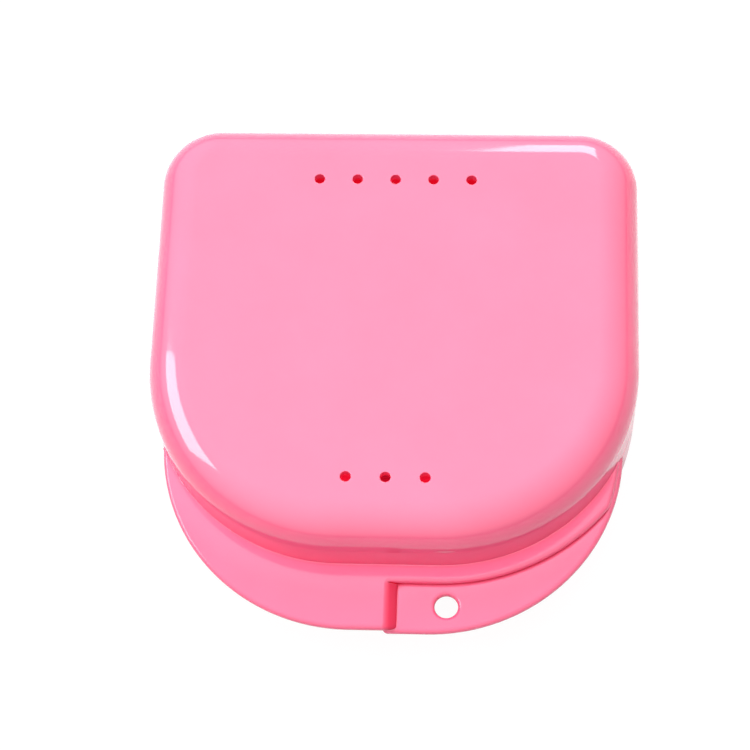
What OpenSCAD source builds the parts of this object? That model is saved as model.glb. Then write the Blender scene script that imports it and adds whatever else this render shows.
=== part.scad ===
// Mouthguard with its hinged carry case.
// The case is two shells that close rim to rim, joined at the back by two pin hinges.
// The mouthguard lies loose inside, bite face down, with its arch towards the front.
// Frame: X to the right, Y to the back (hinge side), Z up. The origin is on the
// underside of the case, midway between the flange's front and the back of the hinge.

/* [Case outline] */
// Width of the case across its straight sides
case_w = 80; // [78:0.5:82]
// Distance from the origin back to the straight rear wall
rear_y = 40.6; // [40:0.2:41]
// Distance from the origin forward to the front wall
front_y = 33.7; // [33.3:0.1:34.3]
// Radius of the two rear corners
rear_r = 10; // [9.5:0.5:11.5]
// Radius of the two front corners
front_r = 32; // [32:0.5:33.5]

/* [Shells] */
// Height of the base, up to its rim
base_h = 14; // [13.5:0.1:14.5]
// Overall height of the closed case
case_h = 28; // [27.5:0.1:28.5]
// Wall thickness
wall = 1.6; // [1.4:0.1:1.8]
// Radius between the lid's top and its side wall
lid_round = 6.8; // [6:0.1:6.8]
// Radius between the base's floor and its side wall
base_round = 5.5; // [5:0.1:6]
// Gap left between the two rims when closed
rim_gap = 0.05; // [0.04:0.01:0.1]

/* [Thumb flanges] */
// Thickness of each flange
flange_t = 1.7; // [1.5:0.1:1.9]
// Half width of the flange outline
flange_hw = 37.7; // [37.2:0.1:38.2]
// Distance from the origin forward to the flange's front edge
flange_front = 44.45; // [43.7:0.2:45.1]
// Radius of the flange's front corners
flange_r = 31.5; // [31:0.25:32]
// How far the narrow half of each flange stands out from the wall
narrow_w = 2.8; // [2.6:0.1:3.2]
// How far the base's wide flange runs in under the lid's at the middle
lap = 0.8; // [0.4:0.1:1.2]
// How far the narrow flange's ends stay inside the wide flange's edge
narrow_in = 0.6; // [0.4:0.1:0.8]
// Radius of the lanyard hole
lanyard_r = 1.9; // [1.8:0.05:2.2]
// Lanyard hole position to the right of the middle
lanyard_x = 9.4; // [8.6:0.2:11]
// Lanyard hole position forward of the origin
lanyard_y = 39.9; // [39.6:0.1:40.2]

/* [Air holes] */
// Radius of each air hole
vent_r = 0.85; // [0.7:0.05:1]
// Spacing of the air holes
vent_pitch = 6.3; // [6:0.1:6.6]
// Number of holes in the rear row
vents_rear = 5; // [3:1:7]
// Number of holes in the front row
vents_front = 3; // [1:1:5]
// Distance of both rows' middles to the left of the plane of symmetry
vents_left = 0.3; // [0:0.1:0.4]
// Position of the rear row behind the origin
vents_rear_y = 29.3; // [27.3:0.5:30.3]
// Position of the front row in front of the origin
vents_front_y = 23.3; // [21.3:0.5:24.3]

/* [Locating lip and snap] */
// Height of the base's lip above its rim
lip_h = 2.6; // [2.2:0.1:2.8]
// Thickness of the lip
lip_t = 1.1; // [1:0.1:1.2]
// Gap between the lip and the lid's wall at the rim
lip_gap = 0.25; // [0.22:0.01:0.3]
// Length of the snap bead
snap_l = 12; // [10:1:13]
// Radius of the snap bead
snap_r = 0.6; // [0.5:0.05:0.6]
// Height of the snap bead above the rim
snap_z = 1.3; // [1.2:0.05:1.4]

/* [Hinge] */
// Distance of the hinge axis behind the rear wall
hinge_off = 2.05; // [2.05:0.05:2.3]
// Radius of the hinge knuckles
knuckle_r = 1.8; // [1.75:0.05:1.85]
// Radius of the hinge pins
pin_r = 0.79; // [0.7:0.01:0.8]
// Distance of each hinge from the middle of the case
hinge_x = 20; // [18:0.5:21]
// Width of the lid's middle knuckle
lug_w = 7; // [6:0.5:8]
// Width of each of the base's outer knuckles
ear_w = 3.2; // [3:0.1:3.6]
// Side play between knuckles
knuckle_gap = 0.2; // [0.15:0.05:0.3]

/* [Mouthguard] */
// Radius of the front of the arch, on its centreline
arch_r = 19; // [18.5:0.25:19.5]
// Radius of the arms of the arch, on their centreline
arm_r = 75; // [72:1:78]
// Angle at which the front arc meets the arms
meet_a = 60; // [58:1:62]
// Angle at which the arms end
end_a = 86; // [84:1:87]
// Height of the outer wall above the bite plane
outer_wall_h = 15.5; // [14:0.5:16]
// Height of the inner wall above the bite plane
inner_wall_h = 9.5; // [8:0.5:10.5]
// Thickness of the bite plane
bite_t = 2.4; // [2:0.1:2.6]
// Thickness of the molar pads below the bite plane
pad_t = 1.6; // [1.4:0.1:2]

/* [Hidden] */
$fn = 96;
eps = 0.02;
overlap = 1;                    // overlap of joined parts and overrun of cutting tools
beyond = 60;                    // reach of clipping blocks, past the case on every side

// Case
half_w = case_w / 2;
rear_cx = half_w - rear_r;      // centres of the corner arcs
rear_cy = rear_y - rear_r;
front_cx = half_w - front_r;
front_cy = front_r - front_y;
lid_h = case_h - base_h - rim_gap;
lid_z = base_h + rim_gap;       // height of the lid's rim
flange_cx = flange_hw - flange_r;
flange_cy = flange_r - flange_front;
flange_side = 12;               // length of the flange outline's straight sides
flange_back = 4;                // where the flanges end, forward of the origin

// Lip and snap
lip_in = wall + lip_gap;        // outer face of the lip, in from the case outline
lip_root = 3;                   // depth of the lip's foot below the rim
bead_sink = 0.15;               // bead's axis forward of the lid wall's inner face
groove_sink = 0.25;             // groove's axis forward of the lip's outer face
groove_play = 0.1;              // added to the bead's radius
groove_end_play = 0.5;          // added at each end of the bead

// Hinge
axis_y = rear_y + hinge_off;
pin_short = 1;                  // pin's length less than the knuckles' overall width
pin_l = lug_w + 2 * ear_w + 2 * knuckle_gap - pin_short;
ear_play = 0.01;                // added to the pin's radius for the bores
lug_play = 0.06;
root_top = -0.1;                // knuckle's root at the wall, relative to the axis
root_bottom = -6.6;
root_meet = [0.76, -0.65];      // where the root's slope meets the knuckle, in radii

// Mouthguard: heights are above the underside of the pads, and widths are measured
// from the arch's centreline
guard_z = wall + 0.05;          // underside of the pads, just clear of the floor
guard_y = 4;                    // centre of the front arc
bite_top = pad_t + bite_t;      // upper face of the bite plane
outer_top = bite_top + outer_wall_h;
inner_top = bite_top + inner_wall_h;
outer_face = 6.5;               // outer wall, outer face
outer_channel = 4.1;            // outer wall, channel face
inner_face = 6.0;               // inner wall, lingual face
inner_channel = 4.2;            // inner wall, channel face
pad_sink = 0.5;                 // depth the pads sit in the shell
pad_in = 4.2;                   // inner edge of the pads
pad_w = 8.6;
pad_start_a = 68;
pad_end_a = 84;
liner_t = 1.1;
liner_gap = 0.03;               // film gap between the lining and the shell
shell_notch_r = 4.5;
liner_notch_r = 5.2;

pink = [0.99, 0.55, 0.70];
steel = [0.75, 0.75, 0.77];
shell_colour = [0.93, 0.35, 0.52];
gel_colour = [0.93, 0.9, 0.91];

// Outline of the case, grown by grow (negative shrinks it), as true arcs and lines.
module outline(grow) {
    front_lap = 5;      // how far the front block runs back past the origin
    for (side = [-1, 1]) {
        translate([side * rear_cx, rear_cy]) circle(r = rear_r + grow);
        translate([side * front_cx, front_cy]) circle(r = front_r + grow);
    }
    translate([-half_w - grow, front_cy]) square([2 * (half_w + grow), rear_cy - front_cy]);
    translate([-rear_cx, 0]) square([2 * rear_cx, rear_y + grow]);
    translate([-front_cx, -front_y - grow]) square([2 * front_cx, front_y + grow + front_lap]);
}

// Wall section: x runs out to reach, and the outer top corner is rounded.
module section(reach, height, round_r) {
    x = reach - round_r;
    y = height - round_r;
    intersection() {
        union() {
            polygon([[-overlap, 0], [reach, 0], [reach, y], [x, y], [x, height],
                     [-overlap, height]]);
            translate([x, y]) circle(r = round_r);
        }
        square([reach + overlap, height + overlap]);
    }
}

// One straight side of a tub, facing +X and running towards +Y.
module straight(length, reach, height, round_r) {
    translate([0, length, 0]) rotate([90, 0, 0]) linear_extrude(length)
        section(reach, height, round_r);
}

// Solid with the case outline shrunk by inset, rounded at the top. It goes round from the
// right rear corner, a corner and then the side after it, each meeting the next face to face.
module tub(inset, height, round_r) {
    side_l = rear_cy - front_cy;
    // x, y, radius
    corners = [[rear_cx, rear_cy, rear_r], [-rear_cx, rear_cy, rear_r],
               [-front_cx, front_cy, front_r], [front_cx, front_cy, front_r]];
    // x, y, radius, length: rear, left, front, right
    sides = [[rear_cx, rear_cy, rear_r, 2 * rear_cx], [-rear_cx, rear_cy, rear_r, side_l],
             [-front_cx, front_cy, front_r, 2 * front_cx], [rear_cx, front_cy, rear_r, side_l]];
    for (i = [0 : 3]) {
        corner = corners[i];
        side = sides[i];
        translate([corner[0], corner[1], 0]) rotate([0, 0, 90 * i])
            rotate_extrude(angle = 90) section(corner[2] - inset, height, round_r);
        translate([side[0], side[1], 0]) rotate([0, 0, 90 * ((i + 1) % 4)])
            straight(side[3], side[2] - inset, height, round_r);
    }
    translate([-rear_cx, front_cy, 0]) cube([2 * rear_cx, side_l, height]);
}

// Outline of the wide flange, drawn in by inset: straight sides, round corners, straight front.
module flange_outline(inset = 0) {
    for (side = [-1, 1]) translate([side * flange_cx, flange_cy]) circle(r = flange_r - inset);
    translate([-flange_cx, -flange_front + inset]) square([2 * flange_cx, flange_front - inset]);
    translate([-flange_hw + inset, flange_cy]) square([2 * (flange_hw - inset), flange_side]);
}

// Flange plate: wide from wide_x rightwards (or up to the clip's end), narrow elsewhere.
module flange(wide_x) {
    clip_l = beyond - flange_back;
    linear_extrude(flange_t) {
        intersection() {
            flange_outline();
            translate([wide_x, -beyond]) square([beyond, clip_l]);
        }
        intersection() {
            flange_outline(narrow_in);
            outline(narrow_w);
            translate([-beyond, -beyond]) square([2 * beyond, clip_l]);
        }
    }
}

// Round bar along X.
module bar(centre, radius, length, facets) {
    translate(centre - [length / 2, 0, 0]) rotate([0, 90, 0])
        cylinder(r = radius, h = length, $fn = facets);
}

// Hinge knuckle across X, centred on its axis, with its root below the axis.
module knuckle(width, bore) {
    root_y = -hinge_off - overlap;
    rotate([90, 0, 90]) translate([0, 0, -width / 2]) linear_extrude(width) difference() {
        union() {
            circle(r = knuckle_r);
            polygon([[root_y, root_top], [0, root_top], knuckle_r * root_meet,
                     [root_y, root_bottom]]);
        }
        circle(r = bore);
    }
}

// Inside of the base below the lip's foot, upside down from the foot.
module hollow_below() {
    intersection() {
        translate([0, 0, -lip_root]) tub(wall, base_h - wall, base_round - wall);
        translate([-beyond, -beyond, 0]) cube([2 * beyond, 2 * beyond, base_h]);
    }
}

module case_base() {
    ear_x = lug_w / 2 + knuckle_gap + ear_w / 2;
    color(pink) difference() {
        union() {
            translate([0, 0, base_h]) mirror([0, 0, 1]) tub(0, base_h, base_round);
            // flange, wide on the right
            translate([0, 0, base_h - flange_t]) flange(-lap);
            // lip that locates the lid
            translate([0, 0, base_h - lip_root]) linear_extrude(lip_root + lip_h)
                outline(-lip_in);
            // outer knuckles of both hinges
            for (side = [-1, 1], end = [-1, 1])
                translate([side * hinge_x + end * ear_x, axis_y, base_h])
                    knuckle(ear_w, pin_r + ear_play);
        }
        // hollow, up to the lip's foot, then through the lip
        translate([0, 0, base_h]) mirror([0, 0, 1]) translate([0, 0, lip_root]) hollow_below();
        translate([0, 0, base_h - lip_root - eps]) linear_extrude(lip_root + lip_h + overlap)
            outline(-lip_in - lip_t);
        // groove for the snap bead
        bar([0, -front_y + lip_in - groove_sink, base_h + snap_z],
            snap_r + groove_play, snap_l + 2 * groove_end_play, 32);
        // lanyard hole
        translate([lanyard_x, -lanyard_y, base_h - flange_t - overlap])
            cylinder(r = lanyard_r, h = flange_t + 2 * overlap, $fn = 64);
    }
}

// Row of air holes through the lid's top.
module vent_row(count, y) {
    for (i = [0 : count - 1])
        translate([(i - (count - 1) / 2) * vent_pitch - vents_left, y, case_h - wall - overlap])
            cylinder(r = vent_r, h = wall + 2 * overlap, $fn = 32);
}

module case_lid() {
    color(pink) {
        difference() {
            union() {
                translate([0, 0, lid_z]) tub(0, lid_h, lid_round);
                // flange, wide on the left
                translate([0, 0, lid_z]) flange(-beyond);
                // middle knuckles of both hinges
                for (side = [-1, 1])
                    translate([side * hinge_x, axis_y, base_h]) mirror([0, 0, 1])
                        knuckle(lug_w, pin_r + lug_play);
            }
            translate([0, 0, lid_z - eps]) tub(wall, lid_h - wall + eps, lid_round - wall);
            vent_row(vents_rear, vents_rear_y);
            vent_row(vents_front, -vents_front_y);
        }
        // snap bead on the inside of the front wall
        bar([0, -front_y + wall - bead_sink, base_h + snap_z], snap_r, snap_l, 32);
    }
}

module hinge_pin(side) {
    color(steel) bar([side * hinge_x, axis_y, base_h], pin_r, pin_l, 48);
}

// Sweeps a section along the arch. The section's x is the distance outward from the centreline.
// A front arc carries on into two arms of larger radius, which end at the angle stop_a.
module arch(stop_a) {
    translate([0, guard_y, guard_z]) rotate([0, 0, -90 - meet_a])
        rotate_extrude(angle = 2 * meet_a) translate([arch_r, 0]) children();
    arm(1, meet_a, stop_a) children();
    arm(-1, meet_a, stop_a) children();
}

// One arm only, on the right (side = 1) or left (side = -1).
module arm(side, start_a, stop_a) {
    centre = -(arm_r - arch_r) * [sin(meet_a), -cos(meet_a)];
    mirror([side > 0 ? 0 : 1, 0, 0]) translate([0, guard_y, guard_z])
        translate([centre[0], centre[1], 0]) rotate([0, 0, -90 + start_a])
            rotate_extrude(angle = stop_a - start_a) translate([arm_r, 0]) children();
}

// Channel section with bevelled edges, from the inner bottom edge round by the outer wall.
module shell_section() {
    inner_foot = 0.8;       // bevels of the bottom edges
    outer_foot = 1.2;
    lean = 0.3;             // how far the outer face leans in at its top
    outer_edge = 0.8;       // bevels of the walls' top edges
    outer_channel_edge = 0.5;
    inner_channel_edge = [0.5, 0.4];
    inner_edge = 0.6;
    polygon([[-inner_face, pad_t + inner_foot], [-inner_face + inner_foot, pad_t],
             [outer_face - outer_foot, pad_t], [outer_face, pad_t + outer_foot],
             [outer_face - lean, outer_top - outer_edge],
             [outer_face - lean - outer_edge, outer_top],
             [outer_channel + outer_channel_edge, outer_top],
             [outer_channel, outer_top - outer_channel_edge],
             [outer_channel, bite_top], [-inner_channel, bite_top],
             [-inner_channel, inner_top - inner_channel_edge[1]],
             [-inner_channel - inner_channel_edge[0], inner_top],
             [-inner_face + inner_edge, inner_top], [-inner_face, inner_top - inner_edge]]);
}

// Notch at the front for the fold of skin under the lip.
module notch(radius) {
    translate([0, 0, guard_z + outer_top + 0.5]) rotate([90, 0, 0])
        cylinder(r = radius, h = 40, $fn = 48);
}

module pad(side) {
    arm(side, pad_start_a, pad_end_a) translate([-pad_in, 0]) square([pad_w, pad_t + pad_sink]);
}

module guard_shell() {
    color(shell_colour) difference() {
        arch(end_a) shell_section();
        pad(1);
        pad(-1);
        notch(shell_notch_r);
    }
}

// Section of the gel lining: floor, tall outer side and lower, slightly tapered inner side.
module liner_section() {
    inner = -inner_channel + liner_gap;
    outer = outer_channel - liner_gap;
    bottom = bite_top + liner_gap;
    floor_top = bottom + liner_t;
    high = outer_top - 2;
    low = inner_top - 1.5;
    taper = 0.9;            // inner side's thickness at the floor, over that at its top
    polygon([[inner, bottom], [outer, bottom], [outer, high], [outer - liner_t, high],
             [outer - liner_t, floor_top], [inner + taper * liner_t, floor_top],
             [inner + liner_t, low], [inner, low]]);
}

module guard_gel_liner() {
    color(gel_colour) difference() {
        arch(end_a - 1) liner_section();
        notch(liner_notch_r);
    }
}

module guard_bite_pad(side) {
    color(gel_colour) pad(side);
}

case_base();
case_lid();
hinge_pin(-1);  // left_hinge_pin
hinge_pin(1);  // right_hinge_pin
guard_shell();
guard_gel_liner();
guard_bite_pad(-1);  // guard_left_bite_pad
guard_bite_pad(1);  // guard_right_bite_pad
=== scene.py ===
"""A mouthguard in its hinged pink case, on a pale studio floor.

The case stands on z = 0 about the origin: left is -X, the front is -Y and the hinge is at +Y.
Shapes are built in millimetres and turned to metres when a mesh is made.
"""

import math

import bpy
import numpy as np
from mathutils import Matrix, Vector
from mathutils.geometry import tessellate_polygon


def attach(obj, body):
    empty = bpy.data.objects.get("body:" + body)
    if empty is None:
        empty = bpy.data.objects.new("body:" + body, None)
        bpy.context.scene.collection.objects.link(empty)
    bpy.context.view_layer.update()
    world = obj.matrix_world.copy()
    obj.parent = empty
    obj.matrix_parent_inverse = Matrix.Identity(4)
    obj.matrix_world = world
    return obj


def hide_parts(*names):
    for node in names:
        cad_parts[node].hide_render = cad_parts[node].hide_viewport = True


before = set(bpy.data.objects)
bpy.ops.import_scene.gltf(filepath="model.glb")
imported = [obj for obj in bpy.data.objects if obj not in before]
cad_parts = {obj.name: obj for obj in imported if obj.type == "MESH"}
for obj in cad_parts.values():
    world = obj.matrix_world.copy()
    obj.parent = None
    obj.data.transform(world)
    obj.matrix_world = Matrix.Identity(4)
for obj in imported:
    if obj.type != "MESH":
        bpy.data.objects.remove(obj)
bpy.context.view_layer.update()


MM = 0.001

# ---------------------------------------------------------------- case dimensions, mm
# outline: reaches from the centre, radii of the rear and front corners and their centres
HALF_WIDTH, REAR, FRONT = 40.0, 40.6, 33.7
REAR_R, FRONT_R = 10.0, 32.0
REAR_CX, REAR_CY = HALF_WIDTH - REAR_R, REAR - REAR_R
FRONT_CX, FRONT_CY = HALF_WIDTH - FRONT_R, FRONT_R - FRONT

BASE_H, CASE_H, WALL = 14.0, 28.0, 1.6
LID_ROUND, BASE_ROUND = 6.8, 5.5    # rounding of the top and bottom edges
RIM_GAP = 0.05
LID_Z = BASE_H + RIM_GAP
RIM_EDGE = 0.22

# front flanges: each is wide on one half and narrow on the other
FLANGE_T, FLANGE_HALF, FLANGE_FRONT, FLANGE_R = 1.7, 37.7, 44.45, 31.5
FLANGE_CX, FLANGE_CY = FLANGE_HALF - FLANGE_R, FLANGE_R - FLANGE_FRONT
NARROW = 2.8                        # reach of the narrow half out of the wall
NARROW_IN = 0.6                     # how far it stays inside the wide outline
LAP = 0.8                           # how far the base's wide half passes the middle
FLANGE_EDGE, FLANGE_HOLE_EDGE = 0.8, 0.65
FLANGE_HOLE_R, FLANGE_HOLE_X, FLANGE_HOLE_Y = 1.9, 9.4, -39.9
FLANGE_FILLET = 0.2                 # largest fillet between wall and flange
NO_FILLET = 0.01                    # below this there is no flange at the wall

VENT_R, VENT_PITCH, VENT_SHIFT, VENT_EDGE = 0.85, 6.3, -0.3, 0.12
VENT_ROWS = ((5, 29.3), (3, -23.3))  # count, y

# lip inside the base's rim, and the snap that holds the lid to it
LIP_H, LIP_T, LIP_GAP = 2.6, 1.1, 0.25
LIP_FOOT, LIP_EDGE, LIP_DEPTH = 0.12, 0.35, 3.0
LIP_FACE = -WALL - LIP_GAP          # outer face, as an offset from the case outline
LIP_BACK = LIP_FACE - LIP_T
SNAP_L, SNAP_R, SNAP_Z = 12.0, 0.6, 1.3

# hinge
HINGE_OFF, KNUCKLE_R, PIN_R, HINGE_X = 2.05, 1.8, 0.79, 20.0
LUG_W, EAR_W, KNUCKLE_GAP = 7.0, 3.2, 0.2
KNUCKLE_EDGE, BORE_EDGE = 0.22, 0.12
LUG_BORE, EAR_BORE = PIN_R + 0.06, PIN_R + 0.01
AXIS_Y = REAR + HINGE_OFF


# ---------------------------------------------------------------- mesh building
class Build:
    """Collects vertices with their own normals, and faces, and makes one object."""

    def __init__(self):
        self.vertices, self.normals, self.faces, self.count = [], [], [], 0

    def add(self, vertices, normals, faces):
        self.vertices.append(np.asarray(vertices, float))
        self.normals.append(np.asarray(normals, float))
        self.faces += [tuple(int(i) + self.count for i in face) for face in faces]
        self.count += len(vertices)

    def arrays(self):
        return np.vstack(self.vertices), np.vstack(self.normals)

    def object(self, name, material):
        vertices, normals = self.arrays()
        normals = unit(normals)
        places = (vertices * MM).tolist()
        mesh = bpy.data.meshes.new(name)
        mesh.from_pydata(places, [], self.faces)
        mesh.update()
        # every face turns to agree with the normals it was given
        flip = {p.index for p in mesh.polygons
                if np.dot(normals[list(p.vertices)].mean(0), p.normal) < 0}
        if flip:
            faces = [tuple(reversed(f)) if i in flip else f for i, f in enumerate(self.faces)]
            mesh.clear_geometry()
            mesh.from_pydata(places, [], faces)
            mesh.update()
        mesh.shade_smooth()
        mesh.normals_split_custom_set_from_vertices([tuple(n) for n in normals])
        mesh.materials.append(material)
        made = bpy.data.objects.new(name, mesh)
        bpy.context.scene.collection.objects.link(made)
        return made


def unit(vectors):
    """Vectors along the last axis, scaled to length 1."""
    return vectors / np.maximum(np.linalg.norm(vectors, axis=-1, keepdims=True), 1e-12)


def grid_faces(rings, around):
    """Quads between consecutive closed rings of vertices."""
    return [(r * around + i, r * around + (i + 1) % around,
             (r + 1) * around + (i + 1) % around, (r + 1) * around + i)
            for r in range(rings - 1) for i in range(around)]


def quarter(count, first=0.0):
    """Cosine and sine of each angle from first to a quarter turn."""
    return [(math.cos(a), math.sin(a)) for a in np.linspace(first, math.pi / 2, count)]


def arc_points(cx, cy, radius, first, last, count):
    return [(cx + radius * math.cos(a), cy + radius * math.sin(a))
            for a in np.radians(np.linspace(first, last, count))]


def circle(x, y, radius, count):
    a = np.linspace(0, 2 * np.pi, count, endpoint=False)
    return np.column_stack([x + radius * np.cos(a), y + radius * np.sin(a)])


def corner_arc(before, point, after, radius, count=None):
    """Points that round a polygon's corner; the radius shrinks where a side is too short."""
    point = np.array(point, float)
    back, ahead = np.array(before, float) - point, np.array(after, float) - point
    back_length, ahead_length = np.linalg.norm(back), np.linalg.norm(ahead)
    back, ahead = back / back_length, ahead / ahead_length
    half = math.acos(max(-1, min(1, float(back @ ahead)))) / 2
    trim = min(radius / math.tan(half), back_length * 0.49, ahead_length * 0.49)
    radius = trim * math.tan(half)
    middle = back + ahead
    centre = point + middle / max(np.linalg.norm(middle), 1e-9) * (radius / math.sin(half))
    start, end = point + back * trim - centre, point + ahead * trim - centre
    first, last = math.atan2(start[1], start[0]), math.atan2(end[1], end[0])
    while last - first > math.pi:
        last -= 2 * math.pi
    while last - first < -math.pi:
        last += 2 * math.pi
    if count is None:
        count = max(int(abs(last - first) * radius / 0.12), 6)
    return [centre + radius * np.array([math.cos(a), math.sin(a)])
            for a in np.linspace(first, last, count)]


def loop_normals(loop):
    """Outward normals of an anticlockwise loop."""
    along = unit(np.roll(loop, -1, 0) - np.roll(loop, 1, 0))
    return np.column_stack([along[:, 1], -along[:, 0]])


def loft(build, loop, outward, profile):
    """Carries a profile round a loop.

    Profile rows are offset outward, height, normal outward, normal up; each is a number or
    one value a loop point.
    """
    vertices, normals = [], []
    for row in profile:
        offset, z, normal_out, normal_up = (
            np.broadcast_to(np.asarray(x, float), (len(loop),)) for x in row)
        vertices.append(np.column_stack([loop + outward * offset[:, None], z]))
        normals.append(np.column_stack([outward * normal_out[:, None], normal_up]))
    build.add(np.vstack(vertices), np.vstack(normals), grid_faces(len(profile), len(loop)))


def cap(build, loops, z, up):
    """Flat face at height z inside loops[0] and outside the others."""
    polygons = [[Vector((float(x), float(y), 0.0)) for x, y in loop] for loop in loops]
    flat = np.vstack(loops)
    normals = np.tile([0, 0, 1.0 if up else -1.0], (len(flat), 1))
    build.add(np.column_stack([flat, np.full(len(flat), z)]), normals,
              tessellate_polygon(polygons))


def edge_wall(build, loop, z0, z1, edge, inside=False, count=6):
    """Edge of a plate with both corners rounded; returns its top and bottom loops."""
    profile = [(-edge * (1 - sin), z1 - edge * (1 - cos), sin, cos) for cos, sin in quarter(count)]
    profile += [(-edge * (1 - cos), z0 + edge * (1 - sin), cos, -sin)
                for cos, sin in quarter(count)]
    outward = -loop_normals(loop) if inside else loop_normals(loop)
    loft(build, loop, outward, profile)
    return loop + outward * profile[0][0], loop + outward * profile[-1][0]


def plate(build, outer, holes, z0, z1, edge, hole_edge=None):
    """A flat plate with rounded edges. All loops are anticlockwise."""
    walls = [edge_wall(build, outer, z0, z1, edge)]
    walls += [edge_wall(build, hole, z0, z1, hole_edge, inside=True) for hole in holes]
    cap(build, [top for top, _ in walls], z1, True)
    cap(build, [low for _, low in walls], z0, False)


# ---------------------------------------------------------------- case outline and flanges
def case_samples():
    """Points of the case outline with outward normals, anticlockwise from the front middle."""
    points, normals = [], []

    def line(start, end, normal, count):
        for t in np.linspace(0, 1, count, endpoint=False):
            points.append((start[0] + (end[0] - start[0]) * t, start[1] + (end[1] - start[1]) * t))
            normals.append(normal)

    def arc(cx, cy, radius, first, count):
        for a in np.radians(np.linspace(first, first + 90, count, endpoint=False)):
            points.append((cx + radius * math.cos(a), cy + radius * math.sin(a)))
            normals.append((math.cos(a), math.sin(a)))

    line((0, -FRONT), (FRONT_CX, -FRONT), (0, -1), 14)
    arc(FRONT_CX, FRONT_CY, FRONT_R, -90, 90)
    line((HALF_WIDTH, FRONT_CY), (HALF_WIDTH, REAR_CY), (1, 0), 24)
    arc(REAR_CX, REAR_CY, REAR_R, 0, 40)
    line((REAR_CX, REAR), (-REAR_CX, REAR), (0, 1), 40)
    arc(-REAR_CX, REAR_CY, REAR_R, 90, 40)
    line((-HALF_WIDTH, REAR_CY), (-HALF_WIDTH, FRONT_CY), (-1, 0), 24)
    arc(-FRONT_CX, FRONT_CY, FRONT_R, 180, 90)
    line((-FRONT_CX, -FRONT), (0, -FRONT), (0, -1), 14)
    return np.array(points), np.array(normals)


OUTLINE, OUTWARD = case_samples()


def arc_rows(offset, z, radius, first, last, count, sign=1.0):
    """Profile rows round an arc, angles from outward towards up. Sign -1 turns the normals in."""
    return [(offset + radius * math.cos(a), z + radius * math.sin(a),
             sign * math.cos(a), sign * math.sin(a))
            for a in np.radians(np.linspace(first, last, count))]


def flange_loop(side):
    """Outline of a flange: wide on the left (side -1) or the right (side 1), narrow on the other
    half. Its back runs inside the case wall. Built for wide on the right, then mirrored."""
    seam = -LAP if side > 0 else 0.0
    mid_wall = FRONT_R - WALL / 2
    points = [(seam, -FLANGE_FRONT)]
    points += arc_points(FLANGE_CX, FLANGE_CY, FLANGE_R, -90, 0, 160)
    points += [(FLANGE_HALF, y) for y in np.linspace(FLANGE_CY + 0.5, -8.0, 12)
               if (FLANGE_HALF - FRONT_CX) ** 2 + (y - FRONT_CY) ** 2 > mid_wall ** 2]
    # inside the wall, from where the flange's side line meets its middle, to the left
    meet = -math.degrees(math.acos((FLANGE_HALF - FRONT_CX) / mid_wall))
    inner = arc_points(FRONT_CX, FRONT_CY, mid_wall, meet, -90, 100)
    points += inner + [(-x, y) for x, y in reversed(inner)]
    # narrow half: the wall grown by NARROW, pulled inside the wide outline
    limit = FLANGE_R - NARROW_IN
    for x, y in arc_points(-FRONT_CX, FRONT_CY, FRONT_R + NARROW, -180 - meet, -90, 220):
        if x < -FLANGE_CX and y < FLANGE_CY:
            reach = math.hypot(x + FLANGE_CX, y - FLANGE_CY)
            if reach > limit:
                x = -FLANGE_CX + (x + FLANGE_CX) * limit / reach
                y = FLANGE_CY + (y - FLANGE_CY) * limit / reach
        elif x < -FLANGE_HALF + NARROW_IN:
            x = -FLANGE_HALF + NARROW_IN
        if x < seam - 0.7:
            points.append((x, y))
    points.append((seam, -FRONT - NARROW))
    wide_end = corner_arc(points[-1], points[0], points[1], radius=1.0)
    narrow_end = corner_arc(points[-2], points[-1], points[0], radius=0.5)
    loop = np.array(wide_end + points[1:-1] + narrow_end)
    # points that nearly coincide are dropped
    keep = [0]
    for i in range(1, len(loop)):
        if np.linalg.norm(loop[i] - loop[keep[-1]]) > 0.02:
            keep.append(i)
    loop = loop[keep]
    return loop if side > 0 else loop[::-1] * np.array([-1, 1])


def on_flange(x, y, offset, side):
    """Whether a point, this far out of the wall, lies within the flange's outline."""
    narrow = x * side < 0
    inset = NARROW_IN if narrow else 0.0
    if narrow and offset > NARROW or abs(x) > FLANGE_HALF - inset or y < -FLANGE_FRONT:
        return False
    at_corner = abs(x) > FLANGE_CX and y < FLANGE_CY
    return not (at_corner
                and math.hypot(abs(x) - FLANGE_CX, y - FLANGE_CY) > FLANGE_R - inset)


def flange_reach(side):
    """How far the flange stands out of the wall at each sample of the case outline."""
    reach = np.zeros(len(OUTLINE))
    for i, (point, normal) in enumerate(zip(OUTLINE, OUTWARD)):
        if point[1] > -6:
            continue
        low, high = 0.0, 20.0
        for _ in range(24):
            middle = (low + high) / 2
            x, y = point + normal * middle
            low, high = (middle, high) if on_flange(x, y, middle, side) else (low, middle)
        reach[i] = low
    return reach


def rim_rows(side, face, rim, up):
    """Profile from the wall, round the flange's fillet and into it, to the rim's outer edge.

    face is the flange's exposed face, rim the height of the rim, and up is 1 for the lid and
    -1 for the base.
    """
    fillet = np.clip(flange_reach(side) * 0.4, 0, FLANGE_FILLET)
    flanged = fillet > NO_FILLET
    rows = [(0.0, face + up * 0.9, 1.0, 0.0)]
    rows += [(fillet * (1 - cos), face + up * fillet * (1 - sin), cos, up * sin * flanged)
             for cos, sin in quarter(8)]
    rows.append((np.where(flanged, 0.3, 0.0),
                 np.where(flanged, face - up * 0.3, rim + up * RIM_EDGE), 1.0, 0.0))
    rows += [(-RIM_EDGE * (1 - cos), rim + up * RIM_EDGE * (1 - sin), cos, -up * sin)
             for cos, sin in quarter(5)]
    return rows


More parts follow.
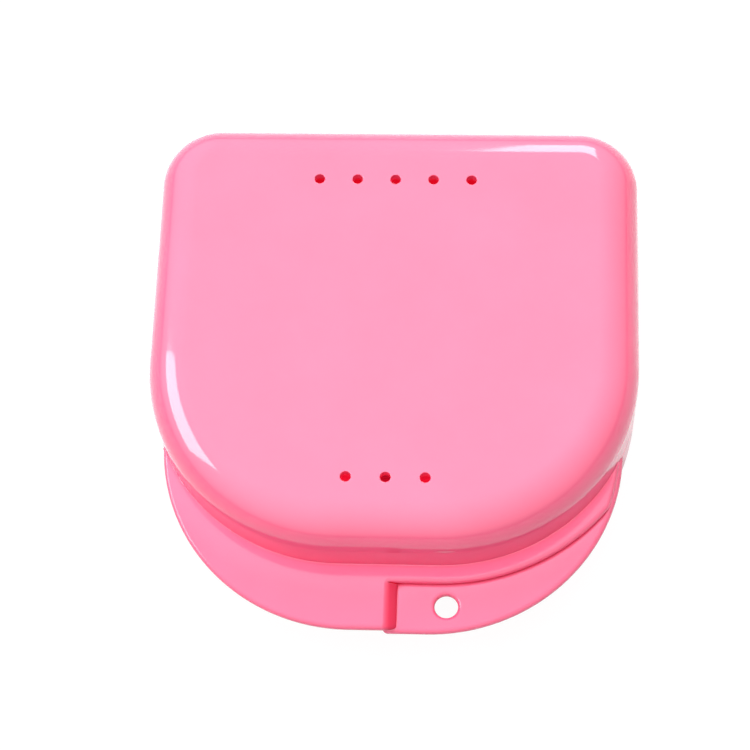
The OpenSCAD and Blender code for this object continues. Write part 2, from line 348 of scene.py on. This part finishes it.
# ---------------------------------------------------------------- hinge knuckles
def knuckle_loop(up):
    """Side view of a knuckle in (Y, Z) about the hinge axis, anticlockwise; up = the lid's."""
    root_y, root_z, foot_z = -HINGE_OFF - 1.0, 6.6, 0.1
    tangent = math.degrees(math.atan2(0.65, 0.76))
    # from the wall's side, round under the axis, to where the straight back leaves the barrel
    points = arc_points(0, 0, KNUCKLE_R, -180, tangent, 60)
    points += [(root_y, root_z), (root_y, foot_z), (-KNUCKLE_R, foot_z)]
    loop = np.array(points)
    return loop if up else loop[::-1] * np.array([1, -1])


def knuckle(build, x, width, up, bore):
    flat = Build()
    plate(flat, knuckle_loop(up), [circle(0, 0, bore, 40)], -width / 2, width / 2,
          KNUCKLE_EDGE, BORE_EDGE)
    vertices, normals = flat.arrays()
    # the plate's own x, y, z become Y, Z, X
    build.add(vertices[:, [2, 0, 1]] + (x, AXIS_Y, BASE_H), normals[:, [2, 0, 1]], flat.faces)


# ---------------------------------------------------------------- case lid
def lid_flange(build):
    """The lid's flange; the end face of its wide half leans, so that it shows from above."""
    flat = Build()
    plate(flat, flange_loop(-1), [], LID_Z, LID_Z + FLANGE_T, FLANGE_EDGE)
    vertices, normals = flat.arrays()
    weight = np.clip((vertices[:, 0] + 1.6) / 1.5, 0, 1)
    weight *= (vertices[:, 1] < -FRONT - NARROW - 0.15) * (vertices[:, 0] < 0.2)
    weight = weight * weight * (3 - 2 * weight)
    height = (vertices[:, 2] - LID_Z) / FLANGE_T
    low_shift, top_shift, normal_tilt = 2.05, 0.05, 1.15
    vertices[:, 0] += weight * (low_shift * (1 - height) + top_shift * height)
    normals[:, 2] += weight * normal_tilt * np.abs(normals[:, 0])
    build.add(vertices, normals, flat.faces)


def snap_bead(build):
    """A rod with domed, tapering ends on the inside of the front wall."""
    pieces, around = 24, 16
    vertices, normals = [], []
    for i in range(pieces + 1):
        t = -1 + 2 * i / pieces
        radius = SNAP_R * max(1 - abs(t) ** 8, 0.0) ** 0.5
        for j in range(around):
            a = 2 * math.pi * j / around
            vertices.append((t * SNAP_L / 2, -FRONT + WALL - 0.15 + radius * math.cos(a),
                             BASE_H + SNAP_Z + radius * math.sin(a)))
            normals.append((t ** 9 * 0.5, math.cos(a), math.sin(a)))
    build.add(vertices, normals, grid_faces(pieces + 1, around))


def lid_top(build):
    """The flat top and its underside, with the vents through them."""
    ring = OUTLINE - OUTWARD * LID_ROUND
    tops, lows = [ring], [ring]
    for count, y in VENT_ROWS:
        for i in range(count):
            x = (i - (count - 1) / 2) * VENT_PITCH + VENT_SHIFT
            top, low = edge_wall(build, circle(x, y, VENT_R, 40), CASE_H - WALL, CASE_H,
                                 VENT_EDGE, inside=True, count=5)
            tops.append(top)
            lows.append(low)
    cap(build, tops, CASE_H, True)
    cap(build, lows, CASE_H - WALL, False)


def make_lid(material):
    build = Build()
    centre = (-LID_ROUND, CASE_H - LID_ROUND)
    rows = arc_rows(*centre, LID_ROUND, 90, 0, 22)
    rows += rim_rows(-1, LID_Z + FLANGE_T, LID_Z, up=1)
    rows += [(-WALL + RIM_EDGE * (1 - sin), LID_Z + RIM_EDGE * (1 - cos), -sin, -cos)
             for cos, sin in quarter(5)]
    rows += arc_rows(*centre, LID_ROUND - WALL, 0, 90, 16, -1.0)
    loft(build, OUTLINE, OUTWARD, rows)
    lid_top(build)
    lid_flange(build)
    for side in (-1, 1):
        knuckle(build, side * HINGE_X, LUG_W, True, LUG_BORE)
    snap_bead(build)
    return build.object("lid_shell", material)


# ---------------------------------------------------------------- case base
def snap_groove_rows():
    """Outer face of the lip, with the snap groove across the front."""
    end_fade, set_back, span = 0.5, 0.25, 0.93
    from_end = SNAP_L / 2 + end_fade - np.abs(OUTLINE[:, 0])
    front = (from_end > 0) & (OUTLINE[:, 1] < 0)
    ends = np.clip(from_end / end_fade, 0, 1)
    radius = SNAP_R + 0.1
    rows = []
    for t in np.linspace(-1, 1, 13):
        depth = radius * math.sqrt(1 - (span * t) ** 2) - set_back
        depth = np.where(front, ends * max(depth, 0.0), 0.0)
        normal_up = np.where(depth > 0.01, -t * 0.9, 0.0)
        rows.append((LIP_FACE - depth, BASE_H + SNAP_Z + radius * span * t, 1.0, normal_up))
    return rows


def lip_rows():
    """Profile of the lip, from its outer foot over the top and down to its shelf's underside."""
    top, shelf = BASE_H + LIP_H, BASE_H - LIP_DEPTH
    back_r, wall_r = 0.4, 0.3       # roundings under the lip and at the wall
    rows = [(LIP_FACE + LIP_FOOT, BASE_H, 0.0, 1.0)]
    rows += [(LIP_FACE + LIP_FOOT * (1 - sin), BASE_H + LIP_FOOT * (1 - cos), sin, cos)
             for cos, sin in quarter(4)]
    rows += snap_groove_rows()
    rows += [(LIP_FACE - LIP_EDGE * (1 - cos), top - LIP_EDGE * (1 - sin), cos, sin)
             for cos, sin in quarter(5)]
    rows += [(LIP_BACK + LIP_EDGE * (1 - sin), top - LIP_EDGE * (1 - cos), -sin, cos)
             for cos, sin in quarter(5)]
    rows.append((LIP_BACK, shelf + back_r, -1.0, 0.0))
    rows += [(LIP_BACK + back_r * (1 - cos), shelf + back_r * (1 - sin), -cos, -sin)
             for cos, sin in quarter(5)]
    rows.append((-WALL - wall_r, shelf, 0.0, -1.0))
    rows += [(-WALL - wall_r * (1 - sin), shelf - wall_r * (1 - cos), -sin, -cos)
             for cos, sin in quarter(5, first=0.02)]
    return rows


def make_base(material):
    build = Build()
    flange_z = BASE_H - FLANGE_T
    rows = arc_rows(-BASE_ROUND, BASE_ROUND, BASE_ROUND, -90, 0, 18)
    rows += rim_rows(1, flange_z, BASE_H, up=-1)
    rows += lip_rows()
    rows += arc_rows(-BASE_ROUND, BASE_ROUND, BASE_ROUND - WALL, 0, -90, 16, -1.0)
    loft(build, OUTLINE, OUTWARD, rows)
    ring = OUTLINE - OUTWARD * BASE_ROUND
    cap(build, [ring], 0.0, False)
    cap(build, [ring], WALL, True)
    hole = circle(FLANGE_HOLE_X, FLANGE_HOLE_Y, FLANGE_HOLE_R, 72)
    plate(build, flange_loop(1), [hole], flange_z, BASE_H, FLANGE_EDGE, FLANGE_HOLE_EDGE)
    ear_shift = LUG_W / 2 + KNUCKLE_GAP + EAR_W / 2
    for side in (-1, 1):
        for ear in (-1, 1):
            knuckle(build, side * HINGE_X + ear * ear_shift, EAR_W, False, EAR_BORE)
    return build.object("base_shell", material)


# ---------------------------------------------------------------- mouthguard
# The arch is a front arc and two flatter arms; angles are in degrees, 0 at the front and
# negative on the left. Sections are (offset out of the arch, height above GUARD_Z).
GUARD_Z, GUARD_Y = WALL + 0.05, 4.0
ARCH_R, ARM_R, MEET, END = 19.0, 75.0, 60.0, 86.0
SHELL_LOW, BITE_Z = 1.6, 4.0        # underside of the shell, and the bite plane
OUTER_H, INNER_H = 15.5, 9.5        # wall heights above the bite plane
OUTER_FACE, OUTER_BACK = 6.5, 4.1   # the outer wall's two sides
INNER_FACE, INNER_BACK = 6.0, 4.2   # the inner wall's two sides, towards the arch's centre


def arch_point(angle):
    """Point of the arch's centreline and its outward normal."""
    side, turn = (1.0 if angle >= 0 else -1.0), math.radians(abs(angle))
    if abs(angle) <= MEET:
        x, y = ARCH_R * math.sin(turn), -ARCH_R * math.cos(turn)
    else:
        meet = math.radians(MEET)
        x = -(ARM_R - ARCH_R) * math.sin(meet) + ARM_R * math.sin(turn)
        y = (ARM_R - ARCH_R) * math.cos(meet) - ARM_R * math.cos(turn)
    normal = np.array([side * math.sin(turn), -math.cos(turn)])
    return np.array([side * x, GUARD_Y + y]), normal


def stations(first, last, step):
    """Angles spaced evenly along the arch, their distances along it, and its whole length."""
    angles = np.linspace(first, last, 2400)
    points = np.array([arch_point(a)[0] for a in angles])
    lengths = np.linalg.norm(np.diff(points, axis=0), axis=1)
    along = np.concatenate([[0], np.cumsum(lengths)])
    places = np.linspace(0, along[-1], int(along[-1] / step) + 1)
    return np.interp(places, along, angles), places, along[-1]


def smooth(x):
    x = min(max(x, 0.0), 1.0)
    return x * x * (3 - 2 * x)


def round_poly(corners):
    """Closed loop with rounded corners: (offset, height, radius, points on the side after it)."""
    count = len(corners)
    arcs = [corner_arc(corners[i - 1][:2], corners[i][:2], corners[(i + 1) % count][:2],
                       corners[i][2], count=6) for i in range(count)]
    loop = []
    for i, arc in enumerate(arcs):
        start, end = arc[-1], arcs[(i + 1) % count][0]
        loop += arc
        loop += [start + (end - start) * t for t in np.linspace(0, 1, corners[i][3] + 2)[1:-1]]
    return np.array(loop)


def inward(loop):
    """Unit vectors pointing into a closed loop at each of its points."""
    after = np.roll(loop, -1, 0)
    area = 0.5 * np.sum(loop[:, 0] * after[:, 1] - after[:, 0] * loop[:, 1])
    return -loop_normals(loop) if area > 0 else loop_normals(loop)


def sweep(build, first, last, section, step, end):
    """Sweeps section(angle, along, total) along the arch, with ends rounded by end."""
    angles, along, total = stations(first, last, step)
    ends = [(end * (1 - cos), end * (1 - sin)) for cos, sin in quarter(7)[:-1]]
    places = ends + [(at, 0.0) for at in along if end < at < total - end]
    places += [(total - at, inset) for at, inset in reversed(ends)]
    rings, frames = [], []
    for at, inset in places:
        angle = float(np.interp(at, along, angles))
        loop = section(angle, at, total)
        if inset > 0:
            loop = loop + inward(loop) * inset
        point, out = arch_point(angle)
        frames.append((point, out))
        rings.append(np.column_stack([point[0] + out[0] * loop[:, 0],
                                      point[1] + out[1] * loop[:, 0], GUARD_Z + loop[:, 1]]))
    grid = np.array(rings)
    count, around = grid.shape[:2]
    round_step = np.roll(grid, -1, 1) - np.roll(grid, 1, 1)
    along_step = np.empty_like(grid)
    along_step[1:-1] = grid[2:] - grid[:-2]
    along_step[0] = grid[1] - grid[0]
    along_step[-1] = grid[-1] - grid[-2]
    normals = unit(np.cross(round_step, along_step))
    # outward, judged at the middle section's farthest point from its centre
    middle = grid[count // 2]
    spokes = middle - middle.mean(0)
    far = int(np.argmax(np.linalg.norm(spokes, axis=1)))
    if np.dot(normals[count // 2, far], spokes[far]) < 0:
        normals = -normals
    build.add(grid.reshape(-1, 3), normals.reshape(-1, 3), grid_faces(count, around))
    for r, sign in ((0, -1.0), (count - 1, 1.0)):
        point, out = frames[r]
        tangent = np.array([-out[1], out[0], 0.0])
        offsets = (grid[r][:, :2] - point) @ out
        flat = [Vector((float(u), float(z), 0.0)) for u, z in zip(offsets, grid[r][:, 2])]
        build.add(grid[r], np.tile(tangent * sign, (around, 1)), tessellate_polygon([flat]))


def wall_heights(angle):
    """Height of the outer and inner walls above the bite plane."""
    turn = abs(angle)
    back = smooth((turn - 52) / 34)
    x = ARCH_R * math.sin(math.radians(min(turn, 90)))
    notch = 4.1 * (1 - smooth((x - 1.2) / 4.4))
    outer = OUTER_H - 3.4 * back - notch
    inner = INNER_H - 1.6 * back - 0.5 * (1 - smooth((turn - 4) / 16))
    return outer, inner


def shell_section(angle, along, total):
    """Two walls on a floor, with grooves moulded into the outer face."""
    outer, inner = wall_heights(angle)
    loop = round_poly([
        (-INNER_FACE, SHELL_LOW, 0.9, 14), (OUTER_FACE, SHELL_LOW, 1.3, 34),
        (OUTER_FACE - 0.35, BITE_Z + outer, 1.05, 3), (OUTER_BACK, BITE_Z + outer, 0.9, 16),
        (OUTER_BACK, BITE_Z, 0.25, 10), (-INNER_BACK, BITE_Z, 0.25, 10),
        (-INNER_BACK, BITE_Z + inner, 0.75, 3), (-INNER_FACE + 0.1, BITE_Z + inner, 0.85, 12)])
    on_face = loop[:, 0] > OUTER_FACE - 0.5
    height = (loop[:, 1] - BITE_Z) / outer
    # four slanting grooves a side, fading out towards the bottom and the top
    fade = np.clip((height - 0.12) / 0.08, 0, 1) * np.clip((0.80 - height) / 0.08, 0, 1)
    groove = np.zeros(len(loop))
    for place in (12.0, 17.5, 23.0, 28.5):
        away = np.abs(abs(along - total / 2) - place - 3.0 * (height - 0.5))
        groove = np.maximum(groove, np.clip(1 - away / 1.15, 0, 1) ** 0.7 * fade)
    # a belt groove that follows the top edge
    belt = np.clip(1 - np.abs(height - 0.90) / 0.035, 0, 1) * smooth((abs(angle) - 14) / 6)
    loop[:, 0] -= on_face * (0.42 * groove + 0.28 * belt)
    return loop


def liner_section(angle, along, total):
    """Gel lining of the channel, thicker and thinner in waves along the arch."""
    outer, inner = wall_heights(angle)
    gap, thick, wave_pitch = 0.04, 1.1, 7.6
    right, left, z = OUTER_BACK - gap, -INNER_BACK + gap, BITE_Z + gap
    wave = 0.5 + 0.5 * math.cos(2 * math.pi * (along - total / 2) / wave_pitch)
    foot = thick + 0.22 * wave
    floor_z = z + thick + 0.12 * wave
    outer_top, inner_top = BITE_Z + outer - 2.0, BITE_Z + inner - 1.5
    return round_poly([
        (left, z, 0.2, 12), (right, z, 0.2, 14), (right, outer_top, 0.35, 1),
        (right - thick * 0.85, outer_top, 0.5, 12), (right - foot, floor_z, 0.8, 8),
        (left + foot, floor_z, 0.8, 8), (left + thick * 0.85, inner_top, 0.5, 1),
        (left, inner_top, 0.35, 8)])


def pad_section(angle, along, total):
    """Pad under the shell, with treads across its underside."""
    tread_pitch, tread_depth, end_fade = 2.5, 0.55, 1.6
    tread = 0.5 - 0.5 * math.cos(2 * math.pi * along / tread_pitch)
    fade = smooth(along / end_fade) * smooth((total - along) / end_fade)
    low, top = 0.02 + tread_depth * max(0.0, tread * 1.6 - 0.6) * fade, SHELL_LOW + 0.02
    return round_poly([(-4.2, low, 0.5, 12), (4.4, low, 0.5, 3),
                       (4.4, top, 0.02, 6), (-4.2, top, 0.02, 3)])


def make_guard(shell_material, gel_material, pad_material):
    """Objects of the mouthguard, each with the CAD piece it replaces and its material slot."""
    # name, section, first and last angle, step, end rounding, material, piece, slot
    parts = [
        ("guard_body", shell_section, -END, END, 0.4, 0.7,
         shell_material, "guard_shell", "guard_rubber"),
        ("guard_lining", liner_section, -END + 1, END - 1, 0.5, 0.3,
         gel_material, "guard_gel_liner", "guard_gel")]
    for piece, first, last in (("guard_left_bite_pad", -84, -68),
                               ("guard_right_bite_pad", 68, 84)):
        parts.append((piece + "_tread", pad_section, first, last, 0.18, 0.25,
                      pad_material, piece, "guard_pad"))
    made = []
    for name, section, first, last, step, end, material, piece, slot in parts:
        build = Build()
        sweep(build, first, last, section, step, end)
        made.append((build.object(name, material), piece, slot))
    return made


# ---------------------------------------------------------------- shader nodes
NOISE_SPAN = (0.3, 0.7)             # the values a noise texture mostly takes
FALLING = (1.0, 0.0)


def add_node(tree, kind, inputs=None, **settings):
    """Makes a shader node; its inputs take plain values or other nodes' outputs."""
    made = tree.nodes.new("ShaderNode" + kind)
    for name, value in settings.items():
        setattr(made, name, value)
    set_inputs(tree, made, inputs or {})
    return made


def set_inputs(tree, node, inputs):
    for name, value in inputs.items():
        if isinstance(value, bpy.types.NodeSocket):
            tree.links.new(value, node.inputs[name])
        else:
            node.inputs[name].default_value = value


def new_material(name):
    """A material with a principled shader; also its tree, shader and object coordinates."""
    material = bpy.data.materials.new(name)
    material.use_nodes = True
    tree = material.node_tree
    tree.nodes.clear()
    output = add_node(tree, "OutputMaterial")
    shader = add_node(tree, "BsdfPrincipled")
    tree.links.new(shader.outputs["BSDF"], output.inputs["Surface"])
    return material, tree, shader, add_node(tree, "TexCoord").outputs["Object"]


def noise(tree, coords, scale, detail=3.0, rough=0.5):
    return add_node(tree, "TexNoise", {"Scale": scale, "Detail": detail, "Roughness": rough,
                                       "Vector": coords}).outputs["Fac"]


def ramp(tree, value, span=(0.0, 1.0), out=(0.0, 1.0)):
    return add_node(tree, "MapRange", {
        "Value": value, "From Min": span[0], "From Max": span[1],
        "To Min": out[0], "To Max": out[1]}).outputs["Result"]


def mix(tree, factor, a, b):
    """Mix of two colours, each an RGB tuple or a node's output."""
    a, b = ((*c, 1) if isinstance(c, tuple) else c for c in (a, b))
    return add_node(tree, "Mix", {"Factor": factor, "A": a, "B": b},
                    data_type="RGBA").outputs["Result"]


def bump(tree, height, strength, distance, normal=None):
    inputs = {"Height": height, "Strength": strength, "Distance": distance}
    if normal is not None:
        inputs["Normal"] = normal
    return add_node(tree, "Bump", inputs).outputs["Normal"]


def calc(tree, operation, a, b):
    return add_node(tree, "Math", {0: a, 1: b}, operation=operation).outputs["Value"]


def product(tree, first, *others):
    for other in others:
        first = calc(tree, "MULTIPLY", first, other)
    return first


def axes(tree, vector):
    return add_node(tree, "SeparateXYZ", {"Vector": vector}).outputs


def shut_in(tree, distance):
    """0 in the open, 1 where everything within the distance is covered."""
    occlusion = add_node(tree, "AmbientOcclusion", {"Distance": distance}, samples=8)
    return ramp(tree, occlusion.outputs["AO"], span=FALLING)


def painted_glow_inside(tree, shader, colour, strength):
    """Painted light: surfaces inside the closed case glow, standing in for light that comes
    through the moulding.
    """
    normal = axes(tree, add_node(tree, "NewGeometry").outputs["Normal"])
    place = axes(tree, add_node(tree, "TexCoord").outputs["Object"])
    # never on the outside next to the floor the case stands on
    middle = product(tree, ramp(tree, place["Z"], span=(0.0050, 0.0065)),
                     ramp(tree, place["Z"], span=(0.0210, 0.0225), out=FALLING))
    where = calc(tree, "MAXIMUM", ramp(tree, normal["Z"], span=(-0.4, -0.1)), middle)
    closed = calc(tree, "POWER", shut_in(tree, distance=0.05), 16.0)
    glow = product(tree, where, calc(tree, "MULTIPLY", closed, strength))
    set_inputs(tree, shader, {"Emission Color": (*colour, 1), "Emission Strength": glow})


# ---------------------------------------------------------------- materials
def plastic():
    """Glossy pink moulding of the case."""
    material, tree, shader, coords = new_material("pink_polypropylene")
    normal = axes(tree, add_node(tree, "NewGeometry").outputs["Normal"])
    place = axes(tree, coords)
    crevice = shut_in(tree, distance=0.0014)
    # the sloping end face of the flange's wide half, which gets painted shade below
    end_face = product(tree, ramp(tree, normal["X"], span=(0.10, 0.50)),
                       ramp(tree, place["X"], span=(0.0030, 0.0036), out=FALLING),
                       ramp(tree, place["X"], span=(-0.0030, -0.0024)),
                       ramp(tree, place["Y"], span=(-0.0364, -0.0368)))
    # the upward faces of the flanges
    flange = product(tree, ramp(tree, normal["Z"], span=(0.55, 0.85)),
                     ramp(tree, place["Z"], span=(0.0160, 0.0168), out=FALLING),
                     ramp(tree, place["Z"], span=(0.0128, 0.0134)))

    tone = ramp(tree, noise(tree, coords, scale=60, detail=4, rough=0.6), span=NOISE_SPAN)
    pink = mix(tree, tone, a=(0.74, 0.084, 0.184), b=(0.77, 0.094, 0.200))
    # painted light: the flanges' colour is lightened at the foot of the wall, to cancel the shade
    # the wall casts there
    painted_light_at_wall = ramp(tree, shut_in(tree, distance=0.008), span=(0.10, 0.42))
    pink = mix(tree, product(tree, flange, painted_light_at_wall), pink, b=(0.92, 0.150, 0.290))
    # painted shade: crevices and the thin end face are darkened towards crimson, where shade falls
    painted_shade = calc(tree, "MAXIMUM", ramp(tree, crevice, span=(0.36, 0.66)),
                ramp(tree, end_face, out=(0.0, 0.88)))
    colour = mix(tree, painted_shade, pink, b=(0.58, 0.020, 0.060))

    fine = noise(tree, coords, scale=900, detail=5, rough=0.6)
    # painted shade on the reflections: little sheen in the crevices and on the end face, and a
    # quieter one on the flanges
    sheen = product(tree, ramp(tree, crevice, span=(0.30, 0.60), out=(0.5, 0.12)),
                    ramp(tree, flange, out=(1.0, 0.62)), ramp(tree, end_face, out=(1.0, 0.15)))
    wave = bump(tree, noise(tree, coords, scale=45, detail=2, rough=0.4),
                strength=0.03, distance=0.001)
    peel = bump(tree, noise(tree, coords, scale=420), strength=0.012, distance=0.0002,
                normal=wave)
    set_inputs(tree, shader, {
        "Base Color": colour, "IOR": 1.49, "Specular IOR Level": sheen, "Normal": peel,
        "Roughness": ramp(tree, fine, span=NOISE_SPAN, out=(0.06, 0.10))})
    # painted light: the moulding glows on its inside, in the closed case
    painted_glow_inside(tree, shader, colour=(0.70, 0.006, 0.030), strength=0.72)
    return material


def rubber(name, a, b, rough, subsurface, depth_mm, relief=0.06):
    """Soft material between colours a and b; relief is the strength of its surface grain."""
    material, tree, shader, coords = new_material(name)
    # painted light: the rubber glows where the closed case shuts it in
    painted_glow_inside(tree, shader, colour=(0.55, 0.006, 0.030), strength=0.7)
    tone = ramp(tree, noise(tree, coords, scale=110, detail=4, rough=0.6), span=NOISE_SPAN)
    fine = noise(tree, coords, scale=1500, detail=4, rough=0.6)
    flow = bump(tree, noise(tree, coords, scale=240), strength=relief * 2, distance=0.0003)
    grain = bump(tree, noise(tree, coords, scale=2200, rough=0.6), strength=relief,
                 distance=0.0001, normal=flow)
    set_inputs(tree, shader, {
        "Base Color": mix(tree, tone, a, b), "IOR": 1.45, "Normal": grain,
        "Roughness": ramp(tree, fine, span=NOISE_SPAN, out=(rough - 0.06, rough + 0.06)),
        "Subsurface Weight": subsurface, "Subsurface Radius": (1.0, 0.5, 0.6),
        "Subsurface Scale": depth_mm * MM})
    return material


def steel():
    """Drawn wire of the hinge pins, streaked along X."""
    material, tree, shader, coords = new_material("pin_wire")
    stretched = add_node(tree, "Mapping", {"Scale": (40, 900, 900), "Vector": coords})
    streaks = noise(tree, stretched.outputs["Vector"], scale=3, detail=4)
    set_inputs(tree, shader, {
        "Base Color": mix(tree, streaks, a=(0.50, 0.50, 0.52), b=(0.66, 0.66, 0.68)),
        "Metallic": 1.0,
        "Roughness": ramp(tree, streaks, span=NOISE_SPAN, out=(0.22, 0.38)),
        "Normal": bump(tree, streaks, strength=0.2, distance=0.0001)})
    return material


def floor_material():
    material, tree, shader, coords = new_material("studio_floor")
    cloud = noise(tree, coords, scale=30)
    rays = add_node(tree, "LightPath").outputs
    seen, mirrored = rays["Is Camera Ray"], rays["Is Glossy Ray"]
    grey = mix(tree, cloud, a=(0.38, 0.38, 0.38), b=(0.40, 0.40, 0.40))
    # seen directly, the floor is dark but glows like a light table; mirrored, it is white
    grey = mix(tree, seen, grey, b=(0.06, 0.06, 0.06))
    grey = mix(tree, mirrored, grey, b=(0.88, 0.88, 0.88))
    set_inputs(tree, shader, {"Base Color": grey, "Roughness": 0.8, "Specular IOR Level": 0.0})
    glow = add_node(tree, "Emission", {
        "Color": mix(tree, cloud, a=(1.0, 1.0, 1.0), b=(0.99, 0.99, 0.99)),
        "Strength": calc(tree, "MULTIPLY", seen, 0.955)})
    both = add_node(tree, "AddShader", {0: shader.outputs["BSDF"], 1: glow.outputs["Emission"]})
    output = next(n for n in tree.nodes if n.type == "OUTPUT_MATERIAL")
    tree.links.new(both.outputs["Shader"], output.inputs["Surface"])
    return material


# ---------------------------------------------------------------- product
PINK = plastic()
for make, piece in ((make_lid, "case_lid"), (make_base, "case_base")):
    shell = make(PINK)
    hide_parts(piece)
    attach(shell, piece)

RUBBER = rubber("guard_pink_rubber", a=(0.50, 0.050, 0.145), b=(0.56, 0.064, 0.170),
                rough=0.34, subsurface=0.15, depth_mm=0.8)
GEL = rubber("guard_white_gel", a=(0.40, 0.375, 0.385), b=(0.45, 0.425, 0.435),
             rough=0.22, subsurface=0.3, depth_mm=1.2, relief=0.04)
PAD = rubber("guard_pad_rubber", a=(0.40, 0.385, 0.39), b=(0.45, 0.435, 0.44),
             rough=0.5, subsurface=0.15, depth_mm=0.8, relief=0.12)
for part, piece, slot in make_guard(RUBBER, GEL, PAD):
    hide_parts(piece)
    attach(part, "mouthguard")

STEEL = steel()
for pin in ("left_hinge_pin", "right_hinge_pin"):
    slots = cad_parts[pin].data.materials
    slots.clear()
    slots.append(STEEL)


# ---------------------------------------------------------------- stage, metres
def make_floor():
    half, z = 3.0, -0.00005
    mesh = bpy.data.meshes.new("floor")
    mesh.from_pydata([(-half, -half, z), (half, -half, z), (half, half, z), (-half, half, z)],
                     [], [(0, 1, 2, 3)])
    mesh.materials.append(floor_material())
    floor = bpy.data.objects.new("floor", mesh)
    bpy.context.scene.collection.objects.link(floor)


def make_world():
    """Surfaces are lit by a broad key overhead, a weaker one from the back left and a fill that
    leans left. They mirror a bright tent, and the camera sees a plain white backdrop."""
    world = bpy.data.worlds.new("studio")
    bpy.context.scene.world = world
    world.use_nodes = True
    world.cycles.sampling_method = "NONE"
    tree = world.node_tree
    direction = add_node(tree, "TexCoord").outputs["Generated"]

    def along(axis):
        return add_node(tree, "VectorMath", {0: direction, 1: axis},
                        operation="DOT_PRODUCT").outputs["Value"]

    def lobe(axis, sharpness, strength):
        facing = calc(tree, "MAXIMUM", along(axis), 0.0)
        return calc(tree, "MULTIPLY", calc(tree, "POWER", facing, sharpness), strength)

    def leaning(axis):
        return calc(tree, "ADD", along(axis), 1.0)

    def unless(ray):
        return calc(tree, "SUBTRACT", 1.0, ray)

    key = lobe((-0.08, -0.02, 0.997), sharpness=6.5, strength=2.6)
    side = lobe((-0.25, 0.52, 0.815), sharpness=4.0, strength=2.65)
    fill_strength = 0.62
    fill = calc(tree, "MULTIPLY", leaning((-0.6, 0.1, 0.0)), fill_strength)
    lit = calc(tree, "ADD", calc(tree, "ADD", key, side), fill)
    tent = product(tree, lobe((0, 0, 1), sharpness=0.35, strength=4.9),
                   leaning((-0.2, 0.1, 0.0)))
    rays = add_node(tree, "LightPath").outputs
    seen, mirrored = rays["Is Camera Ray"], rays["Is Glossy Ray"]
    around = calc(tree, "ADD", product(tree, lit, unless(mirrored)),
                  product(tree, tent, mirrored))
    strength = calc(tree, "ADD", product(tree, around, unless(seen)), seen)
    set_inputs(tree, tree.nodes["Background"], {"Color": (1, 1, 1, 1), "Strength": strength})


def softbox(name, azimuth, elevation, width, height, power, target, distance=0.8):
    """An area light that only glossy surfaces show; angles in degrees from +X and the floor."""
    azimuth, elevation = math.radians(azimuth), math.radians(elevation)
    away = Vector((math.cos(azimuth) * math.cos(elevation),
                   math.sin(azimuth) * math.cos(elevation), math.sin(elevation))).normalized()
    light = bpy.data.lights.new(name, "AREA")
    light.shape = "RECTANGLE"
    light.size, light.size_y = width, height
    light.energy = power
    box = bpy.data.objects.new(name, light)
    bpy.context.scene.collection.objects.link(box)
    turn = away.to_track_quat("Z", "Y").to_matrix().to_4x4()
    box.matrix_world = Matrix.Translation(Vector(target) + away * distance) @ turn
    box.visible_camera = False
    box.visible_diffuse = False


def make_camera():
    """A long lens looking steeply down from the front."""
    tilt, heading, roll = math.radians(23.0), 0.147, -0.122  # radians; tilt from straight down
    target, distance = Vector((-0.003411, 0.000141, 0.0135)), 0.400
    back = Vector((math.sin(tilt) * math.sin(heading), -math.sin(tilt) * math.cos(heading),
                   math.cos(tilt)))
    place = target + back * distance
    level = Vector((0, 0, 1)).cross(back).normalized()
    upright = back.cross(level)
    right = level * math.cos(roll) + upright * math.sin(roll)
    up = -level * math.sin(roll) + upright * math.cos(roll)
    lens = bpy.data.cameras.new("camera")
    lens.sensor_width = 36.0
    lens.lens = 115.1232
    lens.clip_start = 0.01
    camera = bpy.data.objects.new("camera", lens)
    bpy.context.scene.collection.objects.link(camera)
    camera.matrix_world = Matrix((*zip(right, up, back, place), (0, 0, 0, 1)))
    bpy.context.scene.camera = camera


make_floor()
make_world()
softbox("left_box", azimuth=174.5, elevation=36, width=0.536, height=0.40, power=6.6,
        target=(-0.034, -0.008, 0.028))
softbox("rear_box", azimuth=81.5, elevation=34, width=0.222, height=0.37, power=2.55,
        target=(0.025, 0.035, 0.028))
make_camera()
bpy.context.scene.view_settings.view_transform = "Standard"

bpy.context.view_layer.update()
